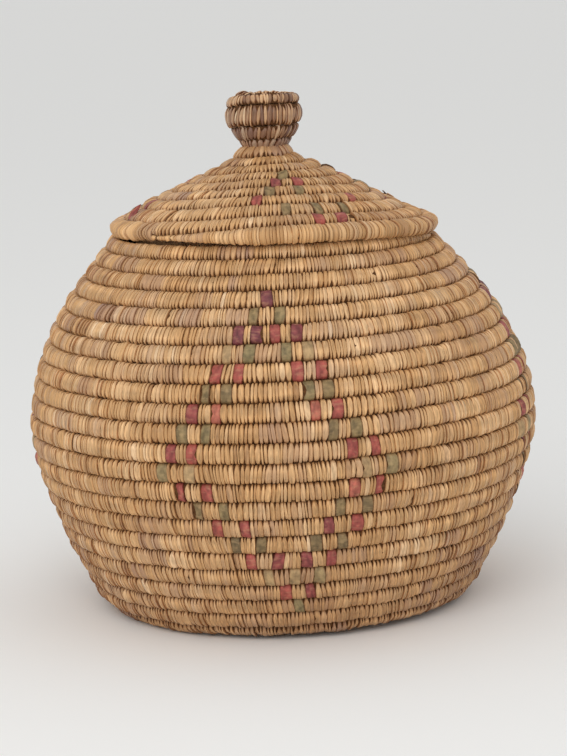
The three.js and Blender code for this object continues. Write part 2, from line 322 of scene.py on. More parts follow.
# How what is read is spread: from low and high, to low and high
FINE_SPAN = (0.25, 0.75, 0.62, 1.34)
BROAD_SPAN = (0.3, 0.7, 0.86, 1.12)
WORN_SPAN = (0.5, 0.8, 0.0, 0.6)
# The last two spread the painted shade at the ends and at the sides of each stitch
END_SHADE_SPAN = (0.8, 1.0, 0.0, 0.5)
SIDE_SHADE_FULL = 0.47

# How finishes shine
STRIP_SHEEN = 0.32
DULL_SHEEN = 0.1
DULL_ROUGHNESS = 0.9

# The studio and the camera, in metres, and the lens in millimetres
FLOOR_COLOUR = (0.9, 0.9, 0.885)
FLOOR_RADIUS = 14
FLOOR_SIDES = 64
FLOOR_DROP = 0.0002
SKY_STRENGTH = 0.75
LAMP_PLACE = (-0.28, -1.2, 0.88)
LAMP_AIM = (0, 0, 0.08)
LAMP_SIZE = 1.1
LAMP_WATTS = 7
CAMERA_LENS = 120
CAMERA_SENSOR = 36
CAMERA_TARGET = (0.0012, 0, 0.0778 + FOOT_LIFT)
CAMERA_DISTANCE = 0.902
CAMERA_RISE = math.radians(9.8)
CAMERA_ROLL = math.radians(-2.2)


def read(table, place):
    """The value at a place, read between those that the table gives."""
    places, values = zip(*table)
    return np.interp(place, places, values)


def spline(points, steps=PROFILE_STEPS):
    """Points of a smooth line through the given ones."""
    given = np.array(points)
    last = len(given) - 1
    share = np.linspace(0, 1, steps, endpoint=False)[:, None]
    pieces = []
    for start in range(last):
        before = given[max(start - 1, 0)]
        here = given[start]
        there = given[start + 1]
        after = given[min(start + 2, last)]
        leave = (there - before) / 2
        arrive = (after - here) / 2
        cubic = (2 * here - 2 * there + leave + arrive) * share**3
        square = (3 * there - 3 * here - 2 * leave - arrive) * share**2
        pieces.append(cubic + square + leave * share + here)
    pieces.append(given[last:])
    return np.concatenate(pieces)


def basket_profile():
    """The middle line of the basket's coil: the flat base, the bend at the foot, then the wall."""
    foot = np.array(FOOT)
    climb = np.array(FLANK) - foot
    rise = foot + climb / np.linalg.norm(climb) * FOOT_BEND
    flat_end = foot - (FOOT_BEND, 0)
    share = np.linspace(0, 1, BEND_STEPS, endpoint=False)[:, None]
    bend = flat_end * (1 - share) ** 2 + foot * 2 * share * (1 - share) + rise * share**2
    wall = spline([rise, FLANK, BELLY, SHOULDER, MOUTH])
    return np.concatenate([[(0, FOOT[1])], bend, wall])


def lid_profile():
    """The middle line of the lid's coil, from the dish of the knob down to the lid's edge."""
    knob = [KNOB_DISH, KNOB_LIP, KNOB_MIDDLE, KNOB_UNDER]
    return spline(knob + [NECK, NECK_FOOT, COLLAR, DOME, LID_EDGE])


class SewnCoil:
    """A coil of sewn grass: where its middle line runs and how it is cut across at any turn.

    Tables of turns and values say how the sewing changes along it.
    """

    unevenness = 0.0
    uneven_waves = ((5.3, 1, 1.1), (13.7, 0.7, 2.6), (29.3, 0.5, 0))  # waves a turn, size, start
    edge_share = 1.0  # how high the free half of the last round is, beside the others
    pinch = (((0, 0.4),), ((0, 0.4),))  # how much narrower a stitch is at its first and second ends
    notch = ((0, 0.5),)  # how far from its middle a stitch keeps its width, in halves of the round
    roundness = ((0, 0.2),)  # how round the stitches lie on the bundle: 0 pressed square, 1 round
    lean = ((0, 0.5),)  # which way the stitches lean, and how much
    disorder = ((0, 1),)  # how much the stitches differ from their neighbours
    stain = ((0, 0),)  # how much browner the grass is than elsewhere

    def __init__(self, profile, thickness, first, last, tail, hand, seam, outward):
        self.radii = profile[:, 0]
        self.heights = profile[:, 1]
        steps = np.hypot(np.diff(self.radii), np.diff(self.heights))
        self.lengths = np.concatenate([[0], np.cumsum(steps)])
        self.length = self.lengths[-1]
        self.thickness = thickness
        self.first = first
        self.last = last
        self.tail = tail
        self.hand = hand
        self.seam = seam
        self.outward = outward

    def point_at(self, length):
        radius = np.interp(length, self.lengths, self.radii)
        height = np.interp(length, self.lengths, self.heights)
        return radius, height

    def point(self, turn):
        return self.point_at(self.length_at(turn))

    def along(self, turn):
        """The unit direction along the profile, towards the next round."""
        reach = 0.2 * MM
        length = np.clip(self.length_at(turn), reach, self.length - reach)
        before = self.point_at(length - reach)
        after = self.point_at(length + reach)
        radius = after[0] - before[0]
        height = after[1] - before[1]
        size = np.hypot(radius, height)
        return radius / size, height / size

    def half_height(self, turn):
        """Half the room between the neighbouring rounds."""
        here = self.point(turn)
        room = np.full(np.shape(turn), np.inf)
        for step in (-1, 1):
            other = turn + step
            inside = (other >= self.first) & (other <= self.last)
            there = self.point(np.clip(other, self.first, self.last))
            apart = np.hypot(there[0] - here[0], there[1] - here[1])
            room = np.where(inside, np.minimum(room, apart), room)
        return room / 2

    def tail_share(self, turn):
        """How much of the full round is left, as the coil thins to its tail."""
        left = np.clip((self.last - turn) / self.tail, 0, 1)
        return TAIL_TIP_SHARE + (1 - TAIL_TIP_SHARE) * left

    def section(self, turn):
        """Half the height and half the thickness of the round, and how far its thinned tail sinks."""
        share = self.tail_share(turn)
        room = self.half_height(turn)
        return room * share, self.thickness / 2 * share, room * (1 - share)

    def stray(self, turn):
        """How far the round stands out of its even line, in slow waves."""
        waves = [size * np.sin(TURN * rate * turn + start) for rate, size, start in self.uneven_waves]
        return self.unevenness * sum(waves)

    def place(self, turn, up, out, aside):
        """Where a point of the section lies: up the profile, out of the wall, aside along the coil."""
        radius, height = self.point(turn)
        along_r, along_z = self.along(turn)
        out_r = self.outward * along_z
        out_z = -self.outward * along_r
        proud = out + self.stray(turn)
        across = radius + along_r * up + out_r * proud
        level = height + along_z * up + out_z * proud
        angle = self.seam + self.hand * (TURN * turn + aside / np.maximum(radius, SMALLEST_RADIUS))
        return self.settle(across * np.sin(angle), -across * np.cos(angle), level)


class BasketCoil(SewnCoil):
    """The basket's coil: the base from its middle, then the wall up to the mouth."""

    unevenness = 0.11 * MM
    edge_share = 0.74
    # Low on the wall the stitches are narrower above, and near the mouth below
    pinch = (
        ((0, 0.12), (7, 0.162), (13, 0.351), (WALL_ROUNDS, 0.54)),
        ((0, 0.5), (7, 0.484), (13, 0.412), (WALL_ROUNDS, 0.34)),
    )
    notch = ((0, 0.54),)
    # Low on the wall they lean to the left, and near the mouth to the right
    lean = ((0, -0.5), (8, -0.3), (14, 0.2), (WALL_ROUNDS, 0.8))
    stain = ((0, 0.12), (6, 0.08), (11, 0))

    def __init__(self):
        rounds = (-BASE_ROUNDS, WALL_ROUNDS)
        super().__init__(basket_profile(), ROUND_THICKNESS, *rounds, WALL_TAIL_TURN, 1, WALL_SEAM, 1)
        self.wall_start = FOOT[0] - FOOT_TUCK
        self.base_pitch = (self.wall_start - BASE_START_RADIUS) / BASE_ROUNDS
        self.wall_pitch = (self.length - self.wall_start) / WALL_ROUNDS

    def length_at(self, turn):
        """The rounds lie evenly, but are drawn up a little at the foot and sunk a little at the mouth."""
        even = turn * np.where(turn < 0, self.base_pitch, self.wall_pitch)
        return self.wall_start + even + read(FOOT_DRAWN_UP, turn) - read(MOUTH_SUNK, turn)

    def settle(self, x, y, z):
        """Stands the basket on its base; it swells to the right, and its mouth leans left and droops."""
        level = FLOOR_SOFTNESS * np.logaddexp(0, z / FLOOR_SOFTNESS)
        share = level / MOUTH[1]
        angle = np.arctan2(x, -y)

        swell = np.sin(math.pi * share)
        ripples = [size * np.sin(waves * angle + slant * share) for waves, slant, size in WALL_RIPPLES]
        rippled = WALL_RIPPLE * sum(ripples) * swell

        above = np.clip((share - MOUTH_DROOP_FROM) / (1 - MOUTH_DROOP_FROM), 0, 1)
        drooped = MOUTH_DROOP * np.clip(np.sin(angle), 0, 1) * above

        under = np.clip((BASE_EDGE_RADIUS - np.hypot(x, y)) / (BASE_EDGE_RADIUS - STANDING_RADIUS), 0, 1)
        in_base = np.clip(2 - level / ROUND_THICKNESS, 0, 1)
        near = np.exp(-(((angle - FOOT_SETTLES_AT) / FOOT_SETTLES_OVER) ** 2))
        settled = near * np.clip(1 - share / FOOT_SETTLES_BELOW, 0, 1)
        raised = FOOT_LIFT * (1 - under * in_base) * (1 - settled)

        swayed = x + BELLY_SWAY * swell * swell - MOUTH_LEAN * share
        return np.stack([swayed, y, level + rippled + raised - drooped], axis=-1)


def settle_lid(x, y, z, drooping=1.0):
    """The knob stands to the left, the lid hangs lower at its sides, and it leans back on the mouth."""
    radius = np.maximum(np.hypot(x, y), MM)
    angle = np.arctan2(x, -y)

    sideways = (x / radius) ** 2 * (1 + read(LID_DROOP_RIGHT, radius) * x / radius)
    drooped = read(LID_DROOP, radius) * sideways * drooping

    tail_room = LID_TAIL_DROOP_FULL - LID_TAIL_DROOP_FROM
    near_edge = np.clip((radius - LID_TAIL_DROOP_FROM) / tail_room, 0, 1)
    from_tail = LID_TAIL_DROOP_WAVES * (angle - LID_SEAM) + LID_TAIL_DROOP_TURNED
    tail_drooped = LID_TAIL_DROOP * near_edge * np.clip(np.cos(from_tail), 0, 1) * drooping

    top = np.clip((z - KNOB_MIDDLE[1]) / (KNOB_LIP[1] - KNOB_MIDDLE[1]), 0, 1)
    sunk = KNOB_SINK * top * (0.5 - 0.5 * np.cos(angle))

    level = z - drooped - sunk - tail_drooped
    aside = LID_ASIDE - KNOB_LEAN * np.clip(z / COLLAR[1], 0, 1)
    back = y * math.cos(LID_LEAN) + level * math.sin(LID_LEAN)
    height = level * math.cos(LID_LEAN) - y * math.sin(LID_LEAN)
    return np.stack([x + aside, back, height + LID_LIFT], axis=-1)


def settle_seat_ring(x, y, z):
    """The ring stays level with the lid's middle."""
    return settle_lid(x, y, z, 0.0)


class LidCoil(SewnCoil):
    """The lid's coil: the knob from its dish down, then the lid out to its edge."""

    unevenness = 0.09 * MM
    # Each stitch of the lid narrows to its lower end
    pinch = (((4, 0.68), (5.5, 0.22)), ((4, 0.68), (9, 0.62), (12, 0.54)))
    notch = ((9, 0.28), (12, 0.38))
    roundness = ((2, 0.7), (2.6, 0.25))
    # The knob is sewn less evenly and pressed flatter, and its lower rounds are darker and greyer
    disorder = ((4, 2.2), (6, 1))
    flatness = ((0, 0.2), (1, 0.4), (2, 0.45), (3, 0.72), (4.2, 0.65), (5.4, 0))
    stain = ((0, -0.1), (1.4, -0.05), (1.9, 0.12), (2.4, 0.52), (3.8, 0.75), (4.6, 0.6), (5.2, 0))

    def __init__(self):
        rounds = KNOB_ROUNDS + LID_ROUNDS
        super().__init__(lid_profile(), LID_ROUND_THICKNESS, 0, rounds, LID_TAIL_TURN, -1, LID_SEAM, -1)
        self.pitch = self.length / rounds

    def levelled(self, turn):
        """The turn that counts: the knob's rounds lie level in front and climb at the back."""
        return turn - read(KNOB_LEVELLED, turn) * np.sin(TURN * (turn - LID_FRONT)) / TURN

    def bound_at(self, turn):
        """How far along the profile one round gives way to the next."""
        bounds, shifts = np.array(LID_BOUNDS).T
        return np.interp(turn, bounds, bounds * self.pitch + shifts * MM)

    def length_at(self, turn):
        spot = self.levelled(turn)
        return (self.bound_at(spot - 0.5) + self.bound_at(spot + 0.5)) / 2

    def half_height(self, turn):
        spot = self.levelled(turn)
        return (self.bound_at(spot + 0.5) - self.bound_at(spot - 0.5)) / 2

    def tail_share(self, turn):
        """The coil is thin at its start on the knob too."""
        return super().tail_share(turn) * read(KNOB_START, turn)

    def section(self, turn):
        half, thick, sunk = super().section(turn)
        return half, thick * (1 - read(self.flatness, turn)), sunk

    def stray(self, turn):
        return super().stray(turn) + read(self.flatness, turn) * self.thickness / 2

    def settle(self, x, y, z):
        return settle_lid(x, y, z)


class FlatCoil(SewnCoil):
    """One flat turn of a spiral, for the starts of the base and of the knob."""

    def __init__(self, inner, outer, level, thickness, hand, seam, settle):
        profile = np.array([(inner, level), (outer, level)])
        super().__init__(profile, thickness, 0, 1, 1, hand, seam, 1)
        self.settle = settle

    def length_at(self, turn):
        return turn * self.length

    def half_height(self, turn):
        return np.full(np.shape(turn), self.length / 2)

    def tail_share(self, turn):
        return np.ones(np.shape(turn))


class RingCoil(FlatCoil):
    """One level turn of bundle, for the ring under the lid."""

    def length_at(self, turn):
        return np.full(np.shape(turn), self.length / 2)


def select_points(piece, test):
    """Selects the points of a piece in edit mode by their place."""
    shape = bmesh.from_edit_mesh(piece.data)
    for point in shape.verts:
        point.select = test(point.co)
    shape.select_flush_mode()
    bmesh.update_edit_mesh(piece.data)


def select_edges(piece, test):
    """Selects the edges of a piece in edit mode by the places of their two ends."""
    shape = bmesh.from_edit_mesh(piece.data)
    for edge in shape.edges:
        edge.select = test(edge.verts[0].co, edge.verts[1].co)
    shape.select_flush_mode()
    bmesh.update_edit_mesh(piece.data)


def squareness(place):
    """How near a point of the stitch lies to a corner of its section: 0 on an axis, 1 at a corner."""
    return min(abs(place.y), abs(place.z)) / max(abs(place.y), abs(place.z))


def model_stitch(name, edge):
    """One stitch round a bundle of unit size: x across it, y out of the wall, z up the wall."""
    bpy.ops.object.select_all(action="DESELECT")
    bpy.ops.mesh.primitive_cylinder_add(
        vertices=STITCH_SIDES, radius=1, depth=1, rotation=(0, math.pi / 2, 0)
    )
    stitch = bpy.context.object
    stitch.name = name
    bpy.ops.object.transform_apply(location=True, rotation=True, scale=True)
    bpy.ops.object.mode_set(mode="EDIT")
    bpy.ops.mesh.select_mode(type="EDGE")
    select_edges(stitch, lambda a, b: abs(a.x - b.x) < 0.01)
    bpy.ops.mesh.bevel(offset=edge, segments=1, affect="EDGES")
    bpy.ops.mesh.select_mode(type="VERT")
    for low, high, swell in STITCH_SWELLS:
        select_points(stitch, lambda place: low < squareness(place) < high)
        bpy.ops.transform.resize(value=(1, swell, swell), center_override=(0, 0, 0))
    bpy.ops.object.mode_set(mode="OBJECT")
    points = np.array([vertex.co for vertex in stitch.data.vertices])
    corners = [tuple(face.vertices) for face in stitch.data.polygons]
    bpy.data.objects.remove(stitch)
    sizes = sorted({len(face) for face in corners})
    return points, [np.array([face for face in corners if len(face) == size]) for size in sizes]


def strand_values(rng, count, spread):
    """A value for each stitch, shared by the stitches that one strand of grass makes."""
    values = np.empty(count)
    done = 0
    while done < count:
        length = rng.integers(*STRAND_STITCHES)
        values[done : done + length] = rng.normal(0, spread)
        done += length
    return values


class Seam:
    """The stitches laid side by side along one coil: the turn, width, dye and looks of each."""

    def __init__(self, coil, start, end, widths, dyed, seed):
        self.coil = coil
        self.rng = np.random.default_rng(seed)
        self.width_table = widths
        turns = np.linspace(start, end, int((end - start) * SEAM_STEPS) + 2)
        radii = coil.point(turns)[0] + coil.thickness / 4
        steps = (radii[1:] + radii[:-1]) / 2 * TURN * np.diff(turns)
        self.turn_table = turns
        self.run_table = np.concatenate([[0], np.cumsum(steps)])
        self.rows = []
        self.lay(sorted(dyed))
        runs, widths, dyes, fades = (np.array(column) for column in zip(*self.rows))
        self.runs = runs
        self.turns = np.interp(runs, self.run_table, turns)
        self.widths = widths
        self.dyes = dyes.astype(int)
        self.fades = fades
        self.free = self.turns > coil.last - 1
        self.colour()
        self.loosen(seed)

    def lay(self, dyed):
        """The dyed stitches at their turns, and undyed ones between them."""
        done = 0.0
        for turn, dye, fade in dyed:
            middle = np.interp(turn, self.turn_table, self.run_table)
            width = DYED_WIDTH * self.rng.uniform(*DYED_WIDTH_SHARES)
            middle = max(middle, done + width / 2)
            self.fill(done, middle - width / 2)
            self.rows.append((middle, width, dye, fade))
            done = middle + width / 2
        self.fill(done, self.run_table[-1])

    def fill(self, start, end):
        """Undyed stitches side by side from start to end."""
        turn = np.interp((start + end) / 2, self.run_table, self.turn_table)
        count = int(round((end - start) / read(self.width_table, turn)))
        if count < 1:
            return
        spread = np.clip(self.rng.normal(0, STITCH_SPREAD, count), *STITCH_SPREAD_LIMITS)
        shares = np.exp(spread)
        sizes = shares / shares.sum() * (end - start)
        edges = start + np.concatenate([[0], np.cumsum(sizes)])
        for first, second in zip(edges, edges[1:]):
            self.rows.append(((first + second) / 2, second - first, NATURAL, 0))

    def colour(self):
        """How pale each stitch is, and how grey: strands, patches and single stitches differ."""
        count = len(self.turns)
        disorder = read(self.coil.disorder, self.turns)
        level = 0 * self.turns
        places = self.coil.place(self.turns, level, level, level)
        patches = np.array([noise.noise(Vector(place) * PATCHES_PER_METRE) for place in places])
        pale = PALENESS + strand_values(self.rng, count, PALE_STRANDS) + PALE_PATCHES * patches
        pale = pale + disorder**PALE_DISORDER * self.rng.normal(0, PALE_SPREAD, count)
        mottle = strand_values(self.rng, count, GREY_STRANDS) + self.rng.normal(0, GREY_SPREAD, count)
        grey = mottle / disorder + GREYNESS + read(self.coil.stain, self.turns)
        self.tones = np.clip(np.where(self.dyes == NATURAL, pale, self.fades), 0, 1)
        self.greys = np.clip(grey, 0, 1)

    def loosen(self, seed):
        """How each stitch strays from even sewing: its height, reach, lean, roll, ends and slack."""
        count = len(self.turns)
        natural = self.dyes == NATURAL
        disorder = read(self.coil.disorder, self.turns)
        self.lift = 1 + disorder**LIFT_DISORDER * self.rng.normal(0, LIFT_SPREAD, count)
        self.reach = STITCH_REACH * (1 + disorder * self.rng.normal(0, REACH_SPREAD, count))
        waves = np.array([noise.noise(Vector((run * LEAN_WAVES_PER_METRE, seed, 0))) for run in self.runs])
        strays = LEAN_WAVE * waves + disorder * self.rng.normal(0, LEAN_SPREAD, count)
        self.lean = STITCH_LEAN * (read(self.coil.lean, self.turns) + strays)
        self.roll = self.rng.normal(STITCH_ROLL, ROLL_SPREAD, count)
        ends = np.stack([read(table, self.turns) for table in self.coil.pinch])
        pinch = np.clip(ends + self.rng.normal(0, PINCH_SPREAD, (2, count)), *PINCH_LIMITS)
        self.pinch = pinch * np.where(natural, 1, DYED_PINCH)
        slack = (self.rng.random(count) < SLACK_SHARE) & natural
        self.widths = self.widths * np.where(slack, SLACK_WIDTH, 1)
        self.pinch[1][self.free] = 0
        self.lean[self.free] *= FREE_LEAN


# What is joined into a sewn piece: a mesh, its finish, and what the finish reads at its points
Part = namedtuple("Part", "points faces finish tone grey strip")


def stitch_part(seam, chosen, shape, finish, dullness):
    """The chosen stitches of a seam, each a copy of the modelled stitch laid round the bundle."""
    coil = seam.coil
    points, face_groups = shape
    x, y, z = points.T[:, None]
    turn, width, reach, lift, lean, roll, free, run = (
        values[chosen][:, None]
        for values in (
            seam.turns, seam.widths, seam.reach, seam.lift, seam.lean, seam.roll, seam.free, seam.runs
        )
    )
    half, thick, sunk = coil.section(turn)
    ends = seam.pinch[:, chosen][:, :, None]
    notch = read(coil.notch, turn)
    narrowing = np.clip((abs(z) - notch) / (NOTCH_END - notch), 0, 1)
    across = x * width * STITCH_OVERLAP * (1 - np.where(z < 0, ends[0], ends[1]) * narrowing)
    rolled = roll * across
    rounding = 1 + read(coil.roundness, turn) * (1 / np.hypot(y, z) - 1)
    height = half * reach * np.where(free & (z > 0), coil.edge_share, 1)
    up = z * rounding * height + np.where(free, rolled * np.maximum(z, 0), 0) - sunk
    out = y * rounding * thick * lift + rolled * y
    aside = across + lean * z * np.sign(y)
    placed = coil.place(np.broadcast_to(turn, across.shape), up, out, aside)
    # The free last round has no round above it, so its upper ends are kept out of the painted shade at
    # stitch ends
    lengthwise = np.where(free, np.minimum(z, FREE_EDGE_UNSHADED), z)
    strip = np.stack(np.broadcast_arrays(x, lengthwise, run * GRAIN_SHIFT), axis=-1)
    mirrored = coil.hand * coil.outward > 0
    step = (np.arange(len(turn)) * len(points))[:, None, None]
    faces = []
    for group in face_groups:
        turned = group[:, ::-1] if mirrored else group
        faces.append((turned[None] + step).reshape(-1, group.shape[1]))
    tone = np.repeat(np.clip(seam.tones[chosen] - dullness, 0, 1), len(points))
    grey = np.repeat(np.clip(seam.greys[chosen] + dullness, 0, 1), len(points))
    return Part(placed.reshape(-1, 3), faces, finish, tone, grey, strip.reshape(-1, 3))


def bundle_part(coil, start, end):
    """The grass bundle inside the stitches, as a closed tube."""
    longest = TURN * float(coil.point(np.array((start + end) / 2))[0]) * (end - start)
    steps = max(int(longest / BUNDLE_STEP), 8)
    turn = np.linspace(start, end, steps + 1)[:, None]
    angle = (np.arange(STITCH_SIDES) * TURN / STITCH_SIDES)[None]
    half, thick, sunk = coil.section(turn)
    free = (turn > coil.last - 1) & (np.cos(angle) > 0)
    share = np.where(free, BUNDLE_EDGE_SHARE * coil.edge_share, BUNDLE_UP_SHARE)
    up = np.cos(angle) * half * share - sunk
    out = np.sin(angle) * thick * BUNDLE_OUT_SHARE
    placed = coil.place(np.broadcast_to(turn, up.shape), up, out, 0 * up).reshape(-1, 3)
    ring = np.arange(steps)[:, None] * STITCH_SIDES
    side = np.arange(STITCH_SIDES)[None]
    following = (side + 1) % STITCH_SIDES
    ahead = ring + STITCH_SIDES
    quads = np.stack([ring + side, ring + following, ahead + following, ahead + side], axis=-1)
    first_cap = np.arange(STITCH_SIDES)[::-1]
    last_cap = np.arange(STITCH_SIDES) + steps * STITCH_SIDES
    faces = [quads.reshape(-1, 4), np.stack([first_cap, last_cap])]
    if coil.hand * coil.outward < 0:
        faces = [group[:, ::-1] for group in faces]
    plain = np.zeros(len(placed))
    return Part(placed, faces, BUNDLE, plain, plain, placed)


def loose_part(coil, turn, width, rise, slip, twist, finish, tone):
    """A loose end of a strip, which stands off its round, twists and narrows to its tip."""
    share = np.linspace(0, 1, LOOSE_STEPS + 1)[:, None]
    side = np.array([[-0.5, 0.5, 0.5, -0.5]])
    under = np.array([[0, 0, 1, 1]]) * LOOSE_THICKNESS
    half, thick, sunk = coil.section(np.array(turn))
    spread = side * width * (1 - LOOSE_TAPER * share**2)
    up = half * (LOOSE_TOP - LOOSE_FALL * share) + spread * np.sin(twist * share)
    arch = LOOSE_OFF + LOOSE_ARCH * np.sin(math.pi * share)
    out = thick * arch + rise * share**2 - under
    aside = slip * share**LOOSE_CURL + spread * np.cos(twist * share)
    placed = coil.place(np.full(up.shape, turn), up, out, aside).reshape(-1, 3)
    ring = np.arange(LOOSE_STEPS)[:, None] * 4
    corner = np.arange(4)[None]
    following = (corner + 1) % 4
    ahead = ring + 4
    quads = np.stack([ring + corner, ahead + corner, ahead + following, ring + following], axis=-1)
    caps = np.stack([corner[0], corner[0, ::-1] + 4 * LOOSE_STEPS])
    lengthwise = LOOSE_STRIP - share
    strip = np.stack(np.broadcast_arrays(side * LOOSE_STRIP, lengthwise, turn + 0 * up), axis=-1)
    tones = np.full(len(placed), tone)
    return Part(placed, [quads.reshape(-1, 4), caps], finish, tones, 0 * tones, strip.reshape(-1, 3))


def join_parts(name, parts):
    """One mesh from a bundle and its stitches, with what the finishes read stored on its points."""
    offset = 0
    faces = []
    finishes = []
    for part in parts:
        for group in part.faces:
            faces.extend((group + offset).tolist())
            finishes.append(np.full(len(group), part.finish, np.int32))
        offset += len(part.points)
    mesh = bpy.data.meshes.new(name)
    mesh.from_pydata(np.concatenate([part.points for part in parts]).tolist(), [], faces)
    for key in ("tone", "grey"):
        values = np.concatenate([getattr(part, key) for part in parts]).astype(np.float32)
        mesh.attributes.new(key, "FLOAT", "POINT").data.foreach_set("value", values)
    strip = np.concatenate([part.strip for part in parts]).astype(np.float32)
    mesh.attributes.new("strip", "FLOAT_VECTOR", "POINT").data.foreach_set("vector", strip.ravel())
    mesh.polygons.foreach_set("material_index", np.concatenate(finishes))
    mesh.polygons.foreach_set("use_smooth", np.ones(len(faces), bool))
    mesh.update()
    mesh.set_sharp_from_angle(angle=CRISP_ANGLE)
    piece = bpy.data.objects.new(name, mesh)
    bpy.context.scene.collection.objects.link(piece)
    return piece


grass_stitch = model_stitch("grass_stitch", GRASS_EDGE)
knob_stitch = model_stitch("knob_stitch", KNOB_EDGE)
flat_stitch = model_stitch("flat_stitch", FLAT_EDGE)


def sewn_piece(name, seam, start, end, natural, dullness=0.0, loose=()):
    """The round between two turns: its bundle, the stitches laid round it, and any loose ends."""
    inside = (seam.turns >= start) & (seam.turns < end)
    parts = [bundle_part(seam.coil, start, end)]
    for finish, shape in ((NATURAL, natural), (RED, flat_stitch), (GREEN, flat_stitch)):
        chosen = inside & (seam.dyes == finish)
        if chosen.any():
            parts.append(stitch_part(seam, chosen, shape, finish, dullness))
    for turn, *strip in loose:
        if start <= turn < end:
            parts.append(loose_part(seam.coil, turn, *strip))
    return join_parts(name, parts)


class Finish:
    """A finish as it is mixed: each method adds a node and gives what comes out of it."""

    def __init__(self, name, roughness, sheen):
        self.material = bpy.data.materials.new(name)
        self.material.use_nodes = True
        self.nodes = self.material.node_tree.nodes
        self.shader = self.nodes["Principled BSDF"]
        self.shader.inputs["Roughness"].default_value = roughness
        self.shader.inputs["Specular IOR Level"].default_value = sheen

    def feed(self, socket, value):
        """Gives a socket a number, a colour, or what comes out of another node."""
        if isinstance(value, bpy.types.NodeSocket):
            self.material.node_tree.links.new(value, socket)
        elif isinstance(value, tuple):
            socket.default_value = (*value, 1)
        else:
            socket.default_value = value

    def attribute(self, name, output):
        node = self.nodes.new("ShaderNodeAttribute")
        node.attribute_name = name
        return node.outputs[output]

    def ramp(self, value, stops):
        node = self.nodes.new("ShaderNodeValToRGB")
        stop_list = node.color_ramp.elements
        while len(stop_list) < len(stops):
            stop_list.new(0.5)
        for stop, (position, colour) in zip(stop_list, stops):
            stop.position = position
            stop.color = (*colour, 1)
        self.feed(node.inputs["Fac"], value)
        return node.outputs["Color"]

    def grain(self, across, along, detail):
        """Fine lines in a strip of grass, drawn out along it or across it."""
        stretched = self.nodes.new("ShaderNodeMapping")
        stretched.inputs["Scale"].default_value = (across, along, 1)
        self.feed(stretched.inputs["Vector"], self.attribute("strip", "Vector"))
        lines = self.nodes.new("ShaderNodeTexNoise")
        lines.inputs["Scale"].default_value = 1
        lines.inputs["Detail"].default_value = detail
        self.feed(lines.inputs["Vector"], stretched.outputs["Vector"])
        return lines.outputs["Fac"]

    def span(self, value, from_low, from_high, low, high):
        node = self.nodes.new("ShaderNodeMapRange")
        node.inputs["From Min"].default_value = from_low
        node.inputs["From Max"].default_value = from_high
        node.inputs["To Min"].default_value = low
        node.inputs["To Max"].default_value = high
        self.feed(node.inputs["Value"], value)
        return node.outputs["Result"]

    def mixed(self, kind, factor, first, second):
        node = self.nodes.new("ShaderNodeMix")
        node.data_type = "RGBA"
        node.blend_type = kind
        self.feed(node.inputs[0], factor)
        self.feed(node.inputs[6], first)
        self.feed(node.inputs[7], second)
        return node.outputs[2]

    def size_of(self, value):
        node = self.nodes.new("ShaderNodeMath")
        node.operation = "ABSOLUTE"
        self.feed(node.inputs[0], value)
        return node.outputs["Value"]

    def emboss(self, height):
        """Raises the surface a little where the height is greater."""
        node = self.nodes.new("ShaderNodeBump")
        node.inputs["Strength"].default_value = GRAIN_STRENGTH
        node.inputs["Distance"].default_value = GRAIN_DEPTH
        self.feed(node.inputs["Height"], height)
        self.feed(self.shader.inputs["Normal"], node.outputs["Normal"])


def strip_finish(name, stops, roughness, side_shade, side_shade_from=0.38, grey=None, worn=None):
    """Split grass: a tone for each stitch, grain, greyed strands or worn dye, and painted shade where
    stitches meet and at their ends.
    """
    mix = Finish(name, roughness, STRIP_SHEEN)
    fine = mix.grain(*(WRINKLED_GRAIN if worn else GRASS_GRAIN))
    broad = mix.grain(*BROAD_GRAIN)
    colour = mix.ramp(mix.attribute("tone", "Fac"), stops)
    colour = mix.mixed("MULTIPLY", 1.0, colour, mix.span(fine, *FINE_SPAN))
    colour = mix.mixed("MULTIPLY", 1.0, colour, mix.span(broad, *BROAD_SPAN))
    if worn:
        patches = mix.span(mix.grain(*WORN_PATCHES), *WORN_SPAN)
        colour = mix.mixed("MIX", patches, colour, worn)
    else:
        colour = mix.mixed("MIX", mix.attribute("grey", "Fac"), colour, grey)
    strip = mix.nodes.new("ShaderNodeSeparateXYZ")
    mix.feed(strip.inputs["Vector"], mix.attribute("strip", "Vector"))
    # Painted shade: darker towards the sides of each stitch, where stitches meet, and towards its ends, in
    # the grooves between rounds
    side = mix.span(mix.size_of(strip.outputs["X"]), side_shade_from, SIDE_SHADE_FULL, 0.0, side_shade)
    end = mix.span(mix.size_of(strip.outputs["Y"]), *END_SHADE_SPAN)
    colour = mix.mixed("MULTIPLY", side, colour, SIDE_SHADE)
    colour = mix.mixed("MULTIPLY", end, colour, END_SHADE)
    mix.feed(mix.shader.inputs["Base Color"], colour)
    mix.emboss(fine)
    return mix.material


def shaded_bundle_finish():
    """The bundle's grass, coloured dark brown as painted shade, since it shows only in the shade between
    stitches.
    """
    mix = Finish("bundle_painted_shade", DULL_ROUGHNESS, DULL_SHEEN)
    where = mix.nodes.new("ShaderNodeTexCoord")
    fleck = mix.nodes.new("ShaderNodeTexNoise")
    fleck.inputs["Scale"].default_value = BUNDLE_FLECKS
    mix.feed(fleck.inputs["Vector"], where.outputs["Object"])
    mix.feed(mix.shader.inputs["Base Color"], mix.ramp(fleck.outputs["Fac"], BUNDLE_SHADE_STOPS))
    return mix.material


def diamond_row(index):
    """The angles of the dyed cells in one row of a diamond, from its left edge to its right."""
    left = float(read(DIAMOND_LEFT, index))
    right = float(read(DIAMOND_RIGHT, index))
    step = UPPER_CELL_STEP if index < DIAMOND_ROWS / 2 else LOWER_CELL_STEP
    if right - left < ONE_CELL_WIDTH:
        return [left]
    if right - left < TWO_CELL_WIDTH:
        return [left, right]
    if right - left < THREE_CELL_WIDTH:
        return [left, (left + right) / 2, right]
    return [left, left + step, right - step, right]


